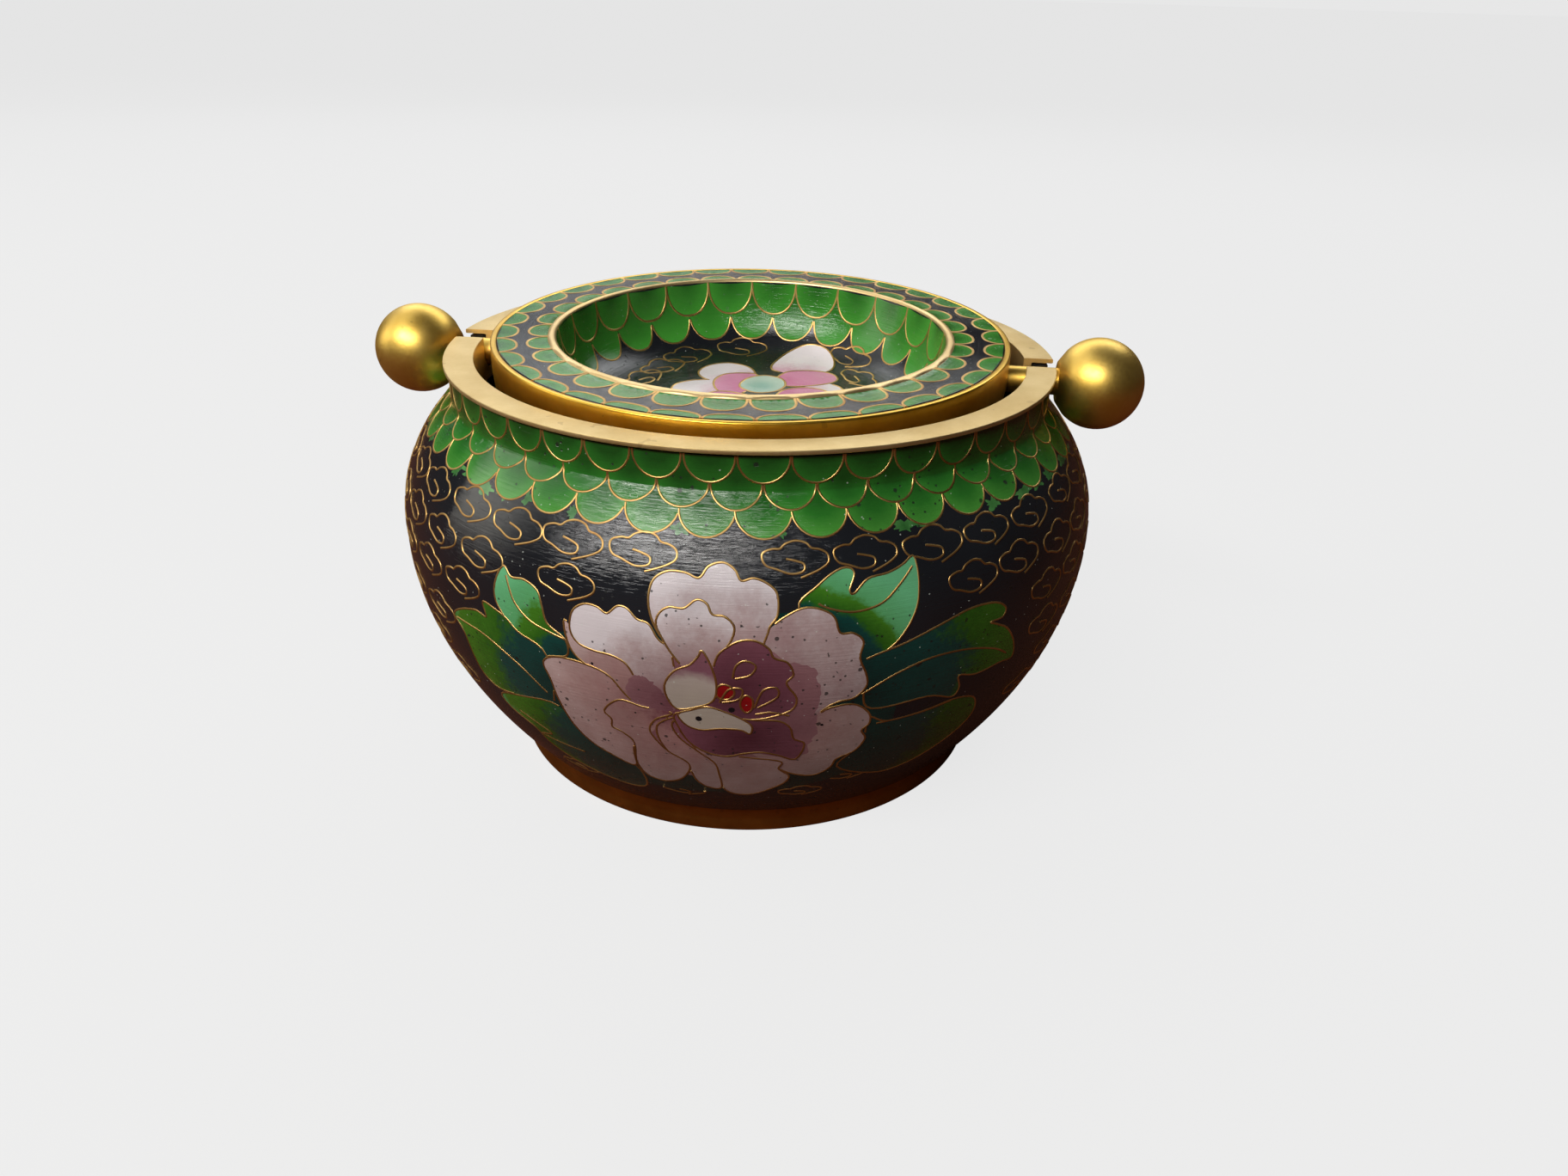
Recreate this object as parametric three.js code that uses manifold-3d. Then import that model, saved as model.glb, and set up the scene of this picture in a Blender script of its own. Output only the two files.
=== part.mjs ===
// A squat round cloisonne pot with a tip-over dish in its mouth.
// The dish hangs on two turned knobs whose pins lie in open notches of the rim ring, and turns
// right round between them, which drops what lies in it into the pot.
// Millimetres, +Z up. The origin is the centre of the foot's underside, and the pins run along X.
import * as THREE from "three";
import { mergeVertices } from "three/addons/utils/BufferGeometryUtils.js";
import Module from "manifold-3d";

const wasm = await Module();
wasm.setup();

// Driving sizes of the pot
const bellyRadius = 50;
const bellyHeight = 36.5;
const potHeight = 58.5;
const bodyWall = 2.0;
const lowerFullness = 2.05;
const shoulderFullness = 2.2;
const bottomInset = 13.1;
const neckInset = 7.7;
const neckHeight = 5.2;

// Foot ring
const footHeight = 4.3;
const footInset = 1.3;
const footWall = 2.6;
const footFlare = 0.4;

// Rim ring: a flat lip with a skirt inside the neck
const rimOverhang = 0.7;
const rimWidth = 4.1;
const rimLip = 0.6;
const rimSkirt = 6.4;

// Dish, its brass band, and how it sits on its pins
const dishGap = 2.4;
const bandWall = 0.9;
const bandHeight = 7.2;
const dishAbovePivot = 5.0;
const dishTiltDegrees = 2.1;
const dishThickness = 1.5;
const dishFloorThickness = 3.2;
const flangeWidth = 9.0;
const wellCornerRadius = 11.5;
const wellDepth = 10.5;
const wellDraft = 0.18;
const wellFullness = 3.5;
const wellLip = 1.5;
const wellLipRise = 0.25;

// Pivot knobs
const pivotBelowRim = 2.55;
const pinRadius = 1.9;
const ballRadius = 6.4;
const knobNeckRadius = 2.9;
const knobNeckGap = 0.5;
const knobConeLength = 1.2;
const knobConeDegrees = 45;

// Clearances
const seatGap = 0.3;
const notchClearance = 0.25;

// Facets
const roundSteps = 60;
const knobSteps = 24;
const curveSteps = 8;

// Sizes that follow from the driving ones
const bottomRadius = bellyRadius - bottomInset;
const neckRadius = bellyRadius - neckInset;
const footRadius = bottomRadius - footInset;
const rimRadius = neckRadius + rimOverhang;
const rimInnerRadius = rimRadius - rimWidth;
const skirtRadius = neckRadius - bodyWall - seatGap;
const dishRadius = rimInnerRadius - dishGap;
const wellRadius = dishRadius - flangeWidth;
const pivotHeight = potHeight - pivotBelowRim;
const bodyBottom = footHeight + seatGap;
const neckBottom = potHeight - neckHeight;
const bodyTop = potHeight - rimLip - seatGap;

const enamelGreen = new THREE.MeshStandardMaterial({ color: 0x1f6b22, roughness: 0.22, metalness: 0.0 });
const enamelBlack = new THREE.MeshStandardMaterial({ color: 0x14161a, roughness: 0.22, metalness: 0.0 });
const giltBrass = new THREE.MeshStandardMaterial({ color: 0xc9a24f, roughness: 0.38, metalness: 1.0 });
const paleBrass = new THREE.MeshStandardMaterial({ color: 0xc8ad72, roughness: 0.5, metalness: 1.0 });

// The pot's outer radius at a height: a full belly that falls away to the foot and to the neck.
function bodyRadiusAt(height) {
  if (height >= neckBottom) return neckRadius;
  if (height >= bellyHeight) {
    const rise = (height - bellyHeight) / (neckBottom - bellyHeight);
    return bellyRadius - (bellyRadius - neckRadius) * rise ** shoulderFullness;
  }
  const fall = (bellyHeight - height) / (bellyHeight - bodyBottom);
  return bellyRadius - (bellyRadius - bottomRadius) * fall ** lowerFullness;
}

// Points of the pot's outer side from the bottom up.
function bodyOutline() {
  const lower = Array.from({ length: curveSteps }, (_, i) => {
    const height = bodyBottom + ((bellyHeight - bodyBottom) * i) / curveSteps;
    return new THREE.Vector2(bodyRadiusAt(height), height);
  });
  const upper = Array.from({ length: curveSteps }, (_, i) => {
    const height = bellyHeight + ((neckBottom - bellyHeight) * i) / (curveSteps - 1);
    return new THREE.Vector2(bodyRadiusAt(height), height);
  });
  return [...lower, ...upper, new THREE.Vector2(neckRadius, bodyTop)];
}

// The same outline moved inwards by the wall, from the top down to the inside floor.
function insideOutline(outline, wall, floorHeight) {
  const inside = outline.map((point, i) => {
    const before = outline[Math.max(i - 1, 0)];
    const after = outline[Math.min(i + 1, outline.length - 1)];
    const along = after.clone().sub(before).normalize();
    return new THREE.Vector2(point.x - wall * along.y, point.y + wall * along.x);
  });
  return inside.filter((point) => point.y > floorHeight + wall / 2).reverse();
}

// A closed profile turned round the Z axis.
function turned(profile, steps = roundSteps) {
  const geometry = new THREE.LatheGeometry(profile, steps);
  geometry.rotateX(Math.PI / 2);
  return geometry;
}

function closed(points) {
  return [...points, points[0].clone()];
}

function ring(innerRadius, outerRadius, low, high) {
  return closed([
    new THREE.Vector2(innerRadius, low),
    new THREE.Vector2(outerRadius, low),
    new THREE.Vector2(outerRadius, high),
    new THREE.Vector2(innerRadius, high),
  ]);
}

function toSolid(geometry) {
  const bare = geometry.clone();
  bare.deleteAttribute("normal");
  bare.deleteAttribute("uv");
  const merged = mergeVertices(bare, 1e-4);
  return new wasm.Manifold(
    new wasm.Mesh({
      numProp: 3,
      vertProperties: merged.attributes.position.array,
      triVerts: new Uint32Array(merged.index.array),
    }),
  );
}

function toGeometry(solid) {
  const mesh = solid.getMesh();
  const geometry = new THREE.BufferGeometry();
  geometry.setAttribute("position", new THREE.BufferAttribute(new Float32Array(mesh.vertProperties), 3));
  geometry.setIndex(new THREE.BufferAttribute(new Uint32Array(mesh.triVerts), 1));
  return geometry;
}

// An open-topped slot right across the pot along X, round at its bottom, for the two pins.
function notchCutter() {
  const halfWidth = pinRadius + notchClearance;
  const shape = new THREE.Shape();
  shape.moveTo(potHeight, halfWidth);
  shape.lineTo(pivotHeight, halfWidth);
  shape.absarc(pivotHeight, 0, halfWidth, Math.PI / 2, (3 * Math.PI) / 2, false);
  shape.lineTo(potHeight, -halfWidth);
  shape.lineTo(potHeight + rimLip, -halfWidth);
  shape.lineTo(potHeight + rimLip, halfWidth);
  shape.closePath();
  const length = 2 * bellyRadius;
  const geometry = new THREE.ExtrudeGeometry(shape, { depth: length, bevelEnabled: false, curveSegments: 8 });
  geometry.translate(0, 0, -length / 2);
  const upright = new THREE.Matrix4().makeBasis(
    new THREE.Vector3(0, 0, 1),
    new THREE.Vector3(0, 1, 0),
    new THREE.Vector3(-1, 0, 0),
  );
  geometry.applyMatrix4(upright);
  return toSolid(geometry);
}

function notched(geometry) {
  return toGeometry(toSolid(geometry).subtract(notchCutter()));
}

function makePotBody() {
  const floorHeight = bodyBottom + bodyWall;
  const outside = bodyOutline();
  const inside = insideOutline(outside, bodyWall, floorHeight);
  const profile = [
    new THREE.Vector2(0, bodyBottom),
    ...outside,
    ...inside,
    new THREE.Vector2(inside[inside.length - 1].x - bodyWall, floorHeight),
    new THREE.Vector2(0, floorHeight),
  ];
  return new THREE.Mesh(notched(turned(profile)), enamelGreen);
}

function makeRimRing() {
  const profile = closed([
    new THREE.Vector2(rimInnerRadius, potHeight - rimSkirt),
    new THREE.Vector2(skirtRadius, potHeight - rimSkirt),
    new THREE.Vector2(skirtRadius, potHeight - rimLip),
    new THREE.Vector2(rimRadius, potHeight - rimLip),
    new THREE.Vector2(rimRadius, potHeight),
    new THREE.Vector2(rimInnerRadius, potHeight),
  ]);
  return new THREE.Mesh(notched(turned(profile)), paleBrass);
}

function makeFootRing() {
  const profile = closed([
    new THREE.Vector2(footRadius - footWall, 0),
    new THREE.Vector2(footRadius, 0),
    new THREE.Vector2(footRadius - footFlare / 2, footHeight / 2),
    new THREE.Vector2(footRadius + footFlare, footHeight),
    new THREE.Vector2(footRadius - footWall, footHeight),
  ]);
  return new THREE.Mesh(turned(profile), giltBrass);
}

// One point of the dish's well: a steep wall that rounds into a flat floor.
// The turn is 0 at the well's mouth and a right angle where the floor begins.
function wellPoint(turn) {
  const inwards = Math.cos(turn) ** (2 / wellFullness);
  const depth = wellDepth * Math.sin(turn) ** (2 / wellFullness);
  const radius = wellRadius - wellCornerRadius * (1 - inwards) - wellDraft * depth;
  return new THREE.Vector2(radius, dishAbovePivot - depth);
}

function makeDish() {
  const top = dishAbovePivot;
  const edge = dishRadius - bandWall - seatGap;
  const well = Array.from({ length: curveSteps }, (_, i) => wellPoint((Math.PI / 2) * (i / (curveSteps - 1))));
  const under = well.map((point, i) => {
    const drop = dishThickness + ((dishFloorThickness - dishThickness) * i) / (curveSteps - 1);
    return new THREE.Vector2(point.x + dishThickness, point.y - drop);
  });
  const lipTop = top + wellLipRise;
  const profile = [
    new THREE.Vector2(0, top - wellDepth - dishFloorThickness),
    ...under.reverse(),
    new THREE.Vector2(edge, top - dishThickness),
    new THREE.Vector2(edge, top),
    new THREE.Vector2(wellRadius + wellLip, top),
    new THREE.Vector2(wellRadius + wellLip - wellLipRise, lipTop),
    new THREE.Vector2(wellRadius + wellLipRise, lipTop),
    ...well,
    new THREE.Vector2(0, top - wellDepth),
  ];
  return new THREE.Mesh(turned(profile), enamelBlack);
}

function makeDishBand() {
  const low = dishAbovePivot - bandHeight;
  return new THREE.Mesh(turned(ring(dishRadius - bandWall, dishRadius, low, dishAbovePivot)), giltBrass);
}

// A turned knob with its pin, along +X from the dish's band to the end of the ball.
function makeKnob() {
  const neckFace = rimRadius + knobNeckGap;
  const cone = THREE.MathUtils.degToRad(knobConeDegrees);
  const ballCentre = neckFace + knobConeLength + ballRadius * Math.sin(cone);
  const ballStart = Math.PI / 2 + cone;
  const ballPoints = Array.from({ length: curveSteps + 3 }, (_, i) => {
    const angle = ballStart * (1 - i / (curveSteps + 2));
    return new THREE.Vector2(ballRadius * Math.sin(angle), ballCentre + ballRadius * Math.cos(angle));
  });
  ballPoints[ballPoints.length - 1].x = 0;
  const profile = [
    new THREE.Vector2(0, dishRadius + seatGap),
    new THREE.Vector2(pinRadius, dishRadius + seatGap),
    new THREE.Vector2(pinRadius, neckFace),
    new THREE.Vector2(knobNeckRadius, neckFace),
    ...ballPoints,
  ];
  const geometry = new THREE.LatheGeometry(profile, knobSteps);
  geometry.rotateZ(-Math.PI / 2);
  return new THREE.Mesh(geometry, giltBrass);
}

const part = new THREE.Group();

const potPieces = { pot_body: makePotBody(), rim_ring: makeRimRing(), foot_ring: makeFootRing() };
for (const [name, mesh] of Object.entries(potPieces)) {
  mesh.name = name;
  part.add(mesh);
}

const tipping = new THREE.Group();
tipping.position.set(0, 0, pivotHeight);
tipping.rotation.x = THREE.MathUtils.degToRad(dishTiltDegrees);
const dishPieces = { dish: makeDish(), dish_band: makeDishBand(), knob_right: makeKnob(), knob_left: makeKnob() };
dishPieces.knob_left.rotation.z = Math.PI;
for (const [name, mesh] of Object.entries(dishPieces)) {
  mesh.name = name;
  tipping.add(mesh);
}
part.add(tipping);

export default part;
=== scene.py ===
"""Looks of a squat cloisonne pot whose enamelled dish tips over between two ball knobs."""

import bisect
import math
import random

import bmesh
import bpy
from mathutils import Matrix, Vector
from mathutils.geometry import delaunay_2d_cdt


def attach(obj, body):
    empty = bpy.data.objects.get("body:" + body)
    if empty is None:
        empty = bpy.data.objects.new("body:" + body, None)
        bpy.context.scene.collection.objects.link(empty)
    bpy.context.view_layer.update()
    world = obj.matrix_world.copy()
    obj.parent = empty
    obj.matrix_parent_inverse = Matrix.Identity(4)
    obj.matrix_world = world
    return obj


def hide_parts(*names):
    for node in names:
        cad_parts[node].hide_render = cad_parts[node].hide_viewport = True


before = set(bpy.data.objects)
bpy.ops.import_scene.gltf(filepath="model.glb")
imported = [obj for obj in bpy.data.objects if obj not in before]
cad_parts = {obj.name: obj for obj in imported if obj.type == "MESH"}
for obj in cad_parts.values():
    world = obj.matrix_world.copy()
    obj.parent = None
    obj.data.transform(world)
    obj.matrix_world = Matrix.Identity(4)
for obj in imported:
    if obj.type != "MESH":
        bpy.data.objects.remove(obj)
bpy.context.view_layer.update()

MM = 0.001

# Sizes of the solids, in millimetres.
POT_HEIGHT = 58.5
BELLY_RADIUS = 50.0
BELLY_HEIGHT = 36.5
BOTTOM_RADIUS = 36.9
LOWER_FULLNESS = 2.05
SHOULDER_FULLNESS = 2.2
NECK_RADIUS = 42.3
NECK_HEIGHT = 5.2
FOOT_HEIGHT = 4.3
FOOT_RADIUS = 35.6
FOOT_WALL = 2.6
FOOT_FLARE = 0.4
FOOT_ROUNDING = 0.5
RIM_RADIUS = 43.0
RIM_WIDTH = 4.1
RIM_LIP = 0.6
RIM_SKIRT = 6.4
RIM_ROUNDING = 0.18
DISH_RADIUS = 36.5
BAND_WALL = 0.9
BAND_HEIGHT = 7.2
BAND_STRAIGHT = 3.4
BAND_TAPER = 0.35
BAND_ROUNDING = 0.32
DISH_ABOVE_PIVOT = 5.0
DISH_TILT = math.radians(2.1)
DISH_THICKNESS = 1.5
DISH_FLOOR_THICKNESS = 3.2
WELL_RADIUS = 27.5
WELL_CORNER = 11.5
WELL_DEPTH = 10.5
WELL_DRAFT = 0.18
WELL_FULLNESS = 3.5
WELL_LIP = 1.2
WELL_LIP_RISE = 0.45
PIVOT_BELOW_RIM = 2.55
PIN_RADIUS = 1.9
BALL_RADIUS = 6.4
KNOB_NECK_RADIUS = 2.9
KNOB_NECK_GAP = 0.5
KNOB_CONE_LENGTH = 1.2
KNOB_CONE = math.radians(45)
SEAT_GAP = 0.3
BODY_WALL = 2.0
NOTCH_CLEARANCE = 0.25

PIVOT_HEIGHT = POT_HEIGHT - PIVOT_BELOW_RIM
NOTCH_HALF_WIDTH = PIN_RADIUS + NOTCH_CLEARANCE
BODY_BOTTOM = FOOT_HEIGHT + SEAT_GAP
BODY_TOP = POT_HEIGHT - RIM_LIP - SEAT_GAP
NECK_BOTTOM = POT_HEIGHT - NECK_HEIGHT
DISH_EDGE = DISH_RADIUS - BAND_WALL - 0.05

# How the enamel is laid.
SKIN = 0.03
WIRE_RADIUS = 0.19
DISH_WIRE_RADIUS = 0.3
WIRE_PROUD = 0.08
WIRE_SIDES = 6
MESH_STEP = 1.5
CELL_STEP = 1.0
CUT_TOLERANCE = 0.004
POT_SOFTNESS = 0.35
DISH_SOFTNESS = 0.2
DISH_STEP = 1.3
DISH_RING_STEP = 1.1
# The pot's sheet is unrolled at this radius, and ends at its seam.
REACH = 46.0
SEAM = math.pi * REACH
# No cell of the sheet comes closer to its top than this.
TOP_MARGIN = 0.02
# The dish's scratches are laid out at this radius.
DISH_REACH = 30

# Camera, fitted to the photo.
PHOTO_WIDTH = 1824
FOCAL_PIXELS = 1400.0
CAMERA_PLACE = Vector((20.14, -168.85, 104.8)) * MM
CAMERA_YAW = math.radians(4.92)
CAMERA_PITCH = math.radians(26.48)
CAMERA_ROLL = math.radians(1.675)


# Materials: shader maths by a wrapped socket, and every other node by one method


class Term:
    """One shader value: Python operators on it add Math nodes."""

    def __init__(self, finish, socket):
        self.finish = finish
        self.socket = socket

    def _maths(self, operation, first, second):
        return self.finish.node("ShaderNodeMath", {"operation": operation}, {0: first, 1: second})

    def __add__(self, other):
        return self._maths("ADD", self, other)

    def __radd__(self, other):
        return self._maths("ADD", other, self)

    def __sub__(self, other):
        return self._maths("SUBTRACT", self, other)

    def __mul__(self, other):
        return self._maths("MULTIPLY", self, other)

    def __gt__(self, other):
        return self._maths("GREATER_THAN", self, other)

    def __lt__(self, other):
        return self._maths("LESS_THAN", self, other)


class Finish:
    """A material that is built node by node."""

    def __init__(self, name):
        self.material = bpy.data.materials.new(name)
        self.material.use_nodes = True
        self.tree = self.material.node_tree
        self.shader = self.tree.nodes["Principled BSDF"]

    def node(self, kind, settings=None, sockets=None, output=0):
        made = self.tree.nodes.new(kind)
        for name, value in (settings or {}).items():
            if name == "stops":
                stops = made.color_ramp.elements
                for end in (0, -1):
                    stops[end].position = value[end][0]
                    stops[end].color = (*value[end][1], 1)
                for place, colour in value[1:-1]:
                    stops.new(place).color = (*colour, 1)
            else:
                setattr(made, name, value)
        for name, value in (sockets or {}).items():
            if isinstance(value, Term):
                self.tree.links.new(value.socket, made.inputs[name])
            else:
                made.inputs[name].default_value = value
        return Term(self, made.outputs[output])

    def set(self, **values):
        for name, value in values.items():
            socket = self.shader.inputs[name.replace("_", " ")]
            if isinstance(value, Term):
                self.tree.links.new(value.socket, socket)
            else:
                socket.default_value = value

    def noise(self, place, scale, detail=3.0, roughness=0.5):
        sockets = {"Vector": place, "Scale": scale, "Detail": detail, "Roughness": roughness}
        return self.node("ShaderNodeTexNoise", {}, sockets)

    def stretched(self, place, stretch):
        return self.node("ShaderNodeMapping", {}, {"Vector": place, "Scale": stretch})

    def spots(self, place, scale, size):
        """1 within round spots that are scattered in space, and 0 between them."""
        return self.node("ShaderNodeTexVoronoi", {}, {"Vector": place, "Scale": scale}) < size

    def ramp(self, value, stops):
        return self.node("ShaderNodeValToRGB", {"stops": stops}, {"Fac": value})

    def mixed(self, share, first, second, blend="MIX"):
        settings = {"data_type": "RGBA", "blend_type": blend}
        return self.node("ShaderNodeMix", settings, {0: share, 6: first, 7: second}, output=2)

    def bump(self, height, strength, distance):
        sockets = {"Strength": strength, "Distance": distance, "Height": height}
        return self.node("ShaderNodeBump", {}, sockets)


def clamp(value, low=0.0, high=1.0):
    return max(low, min(high, value))


def added(name, data):
    """A new object in the scene."""
    made = bpy.data.objects.new(name, data)
    bpy.context.scene.collection.objects.link(made)
    return made


MIDDLE_SHADE = 0.5
PIT_BLACK = (0.006, 0.008, 0.007, 1)
DUST_GREY = (0.55, 0.6, 0.55, 1)
DUST_SHARE = 0.5
STAIN_BROWN = (0.20, 0.10, 0.03, 1)
STAIN_SHARE = 0.25
# Tones that wear multiplies the glass by.
WORN = [(0.3, (0.82, 0.82, 0.82)), (0.7, (1.12, 1.12, 1.12))]
# Grinding scratches: stretch on a sheet in millimetres, and in space in metres.
SHEET_SCRATCHES = (0.022, 3.4, 1.0)
LEVEL_SCRATCHES = (50.0, 50.0, 3000.0)
# Depth of the finest relief, in metres.
GLASS_RELIEF = 0.00004
BRASS_RELIEF = 0.00003


def enamel(name, stops, mottle=0.16, pits=0.8, drawn=True):
    """Glass enamel, ground flat: a colour that runs from root to tip, clouded, scratched and pitted.

    Enamel that isn't drawn on a sheet has one shade, and its scratches lie level in space.
    """
    finish = Finish(name)
    place = finish.node("ShaderNodeTexCoord", output="Object")
    if drawn:
        shade = finish.node("ShaderNodeAttribute", {"attribute_name": "shade"}, output="Fac")
        scratched = finish.stretched(finish.node("ShaderNodeUVMap", {"uv_map": "Sheet"}), SHEET_SCRATCHES)
    else:
        shade = MIDDLE_SHADE
        scratched = finish.stretched(place, LEVEL_SCRATCHES)
    grinding = finish.noise(scratched, scale=1.0, detail=5.0, roughness=0.75)
    cloud = finish.noise(place, scale=260.0, detail=4.0, roughness=0.6)
    fine = finish.noise(place, scale=1500.0, roughness=0.6)
    run = (cloud - 0.5) * (mottle * 2.2) + (fine - 0.5) * mottle + shade
    worn = finish.ramp(finish.noise(place, scale=90.0, detail=2.0), WORN)
    colour = finish.mixed(1.0, finish.ramp(run, stops), worn, "MULTIPLY")
    rarity = finish.noise(place, scale=420.0, detail=1.0)
    large_pits = finish.spots(place, scale=520.0, size=0.16) * (rarity > 0.6)
    small_pits = finish.spots(place, scale=950.0, size=0.15) * (rarity > 0.5)
    dark_pits = large_pits + small_pits
    colour = finish.mixed(dark_pits * pits, colour, PIT_BLACK)
    dust = finish.spots(place, scale=850.0, size=0.08) * (rarity < 0.46)
    colour = finish.mixed(dust * DUST_SHARE, colour, DUST_GREY)
    waves = finish.noise(place, scale=180.0, detail=2.0)
    rough = 0.01 + grinding * 0.13 + dark_pits * 0.3
    relief = finish.bump(grinding * 3.2 + waves * 1.2 + dark_pits * -3.0, 0.45, GLASS_RELIEF)
    finish.set(Base_Color=colour, Roughness=rough, Normal=relief)
    return finish.material


def brass(name, bright, deep, rough, grain):
    """Gilt brass: a cloudy tone with a few brown stains and a fine grain."""
    finish = Finish(name)
    place = finish.node("ShaderNodeTexCoord", output="Object")
    tone = finish.noise(place, scale=130.0, detail=4.0, roughness=0.6)
    fine = finish.noise(place, scale=2600.0, roughness=0.6)
    stained = finish.noise(place, scale=330.0, detail=2.0) > 0.7
    colour = finish.ramp(tone, [(0.3, deep), (0.68, bright)])
    colour = finish.mixed(stained * STAIN_SHARE, colour, STAIN_BROWN)
    relief = finish.bump(fine * grain + tone, 0.5, BRASS_RELIEF)
    finish.set(Base_Color=colour, Roughness=rough - 0.06 + fine * 0.14, Metallic=1.0, Normal=relief)
    return finish.material


def ends(root, tip):
    return [(0.0, root), (1.0, tip)]


BLACKS = ends((0.006, 0.007, 0.009), (0.014, 0.016, 0.02))
GREENS = [(0.0, (0.008, 0.06, 0.008)), (0.5, (0.02, 0.14, 0.016)), (1.0, (0.06, 0.26, 0.035))]
FINISHES = {
    "black": enamel("black_enamel", BLACKS, 0.1, 0.9),
    "inside": enamel("inner_enamel", BLACKS, 0.1, 0.9, drawn=False),
    "scale": enamel("green_enamel", GREENS, 0.14),
    "bleed": enamel("bled_green_enamel", ends((0.02, 0.1, 0.02), (0.1, 0.32, 0.09)), 0.3),
    "leaf": enamel(
        "leaf_enamel",
        [
            (0.0, (0.002, 0.022, 0.02)), (0.28, (0.003, 0.045, 0.038)), (0.36, (0.02, 0.10, 0.008)),
            (0.54, (0.045, 0.17, 0.012)), (0.62, (0.085, 0.32, 0.12)), (1.0, (0.12, 0.42, 0.2)),
        ],
        0.12,
    ),
    "white": enamel(
        "pale_petal_enamel",
        [
            (0.0, (0.15, 0.045, 0.07)), (0.3, (0.30, 0.18, 0.185)),
            (0.6, (0.39, 0.29, 0.29)), (1.0, (0.57, 0.52, 0.54)),
        ],
        0.3,
    ),
    "rose": enamel(
        "rose_petal_enamel",
        [
            (0.0, (0.14, 0.04, 0.055)), (0.3, (0.28, 0.145, 0.14)),
            (0.7, (0.34, 0.215, 0.205)), (1.0, (0.40, 0.29, 0.28)),
        ],
        0.3,
    ),
    "heart": enamel("heart_enamel", ends((0.14, 0.04, 0.06), (0.28, 0.15, 0.15)), 0.2),
    "mauve": enamel("mauve_enamel", ends((0.085, 0.022, 0.035), (0.17, 0.06, 0.085)), 0.25),
    "stain": enamel("stained_petal_enamel", ends((0.13, 0.04, 0.055), (0.25, 0.12, 0.135)), 0.3),
    "bud": enamel(
        "bud_enamel",
        [
            (0.0, (0.40, 0.34, 0.28)), (0.5, (0.42, 0.35, 0.31)),
            (0.66, (0.20, 0.08, 0.11)), (1.0, (0.18, 0.07, 0.09)),
        ],
        0.08,
    ),
    "red": enamel("red_enamel", ends((0.22, 0.004, 0.006), (0.34, 0.008, 0.01)), 0.15),
    "flange": enamel("flange_green_enamel", ends((0.02, 0.14, 0.015), (0.05, 0.24, 0.03)), 0.3, 0.3),
    "well": enamel("well_green_enamel", ends((0.015, 0.11, 0.012), (0.05, 0.28, 0.03)), 0.2, 0.2),
    "snow": enamel(
        "snow_petal_enamel",
        [(0.0, (0.55, 0.14, 0.30)), (0.5, (0.64, 0.38, 0.47)), (0.8, (0.72, 0.66, 0.68))],
        0.2,
        0.2,
    ),
    "pink": enamel("pink_petal_enamel", ends((0.52, 0.10, 0.26), (0.62, 0.26, 0.40)), 0.25, 0.2),
    "pale_green": enamel("pale_green_enamel", ends((0.22, 0.42, 0.34), (0.5, 0.6, 0.5)), 0.2, 0.2),
    "ring": brass("well_ring_brass", (0.82, 0.62, 0.32), (0.68, 0.48, 0.21), 0.42, 0.6),
}
WIRE_BRASS = brass("wire_brass", (0.70, 0.46, 0.17), (0.42, 0.23, 0.07), 0.42, 0.08)
RIM_BRASS = brass("sanded_rim_brass", (0.69, 0.53, 0.26), (0.57, 0.41, 0.17), 0.5, 2.6)
KNOB_BRASS = brass("knob_brass", (0.88, 0.61, 0.15), (0.72, 0.45, 0.07), 0.41, 0.8)
BAND_BRASS = brass("band_brass", (0.88, 0.56, 0.09), (0.66, 0.38, 0.03), 0.3, 0.5)
FOOT_BRASS = brass("foot_brass", (0.60, 0.30, 0.06), (0.38, 0.17, 0.03), 0.36, 1.0)


# Shapes on the two surfaces


def half_turn(steps):
    """Angles from 0 to half a turn."""
    return [math.pi * k / steps for k in range(steps + 1)]


def pot_radius(height):
    if height >= NECK_BOTTOM:
        return NECK_RADIUS
    if height >= BELLY_HEIGHT:
        rise = (height - BELLY_HEIGHT) / (NECK_BOTTOM - BELLY_HEIGHT)
        return BELLY_RADIUS - (BELLY_RADIUS - NECK_RADIUS) * rise**SHOULDER_FULLNESS
    fall = clamp((BELLY_HEIGHT - height) / (BELLY_HEIGHT - BODY_BOTTOM))
    return BELLY_RADIUS - (BELLY_RADIUS - BOTTOM_RADIUS) * fall**LOWER_FULLNESS


def well_point(turn):
    """Radius and height of the dish's well: the turn is 0 at its mouth and a right angle at its floor."""
    inwards = math.cos(turn) ** (2 / WELL_FULLNESS)
    depth = WELL_DEPTH * math.sin(turn) ** (2 / WELL_FULLNESS)
    return WELL_RADIUS - WELL_CORNER * (1 - inwards) - WELL_DRAFT * depth, DISH_ABOVE_PIVOT - depth


class Profile:
    """A line of (radius, height) points that is turned round Z, read by the distance along it."""

    def __init__(self, points):
        self.points = points
        self.along = [0.0]
        for before, after in zip(points, points[1:]):
            self.along.append(self.along[-1] + math.dist(before, after))

    def at(self, distance):
        distance = clamp(distance, 0.0, self.along[-1])
        high = min(bisect.bisect_right(self.along, distance), len(self.along) - 1)
        low = high - 1
        share = (distance - self.along[low]) / max(self.along[high] - self.along[low], 1e-9)
        first, second = self.points[low], self.points[high]
        return first[0] + (second[0] - first[0]) * share, first[1] + (second[1] - first[1]) * share

    def place(self, distance, angle, step):
        """A place on the turned surface and its normal, which is softened over two steps."""
        radius, height = self.at(distance)
        before = self.at(distance - step)
        after = self.at(distance + step)
        along = Vector((after[0] - before[0], after[1] - before[1])).normalized()
        facing = Vector((math.sin(angle), -math.cos(angle), 0))
        normal = facing * -along.y + Vector((0, 0, along.x))
        return facing * radius + Vector((0, 0, height)), normal


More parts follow.
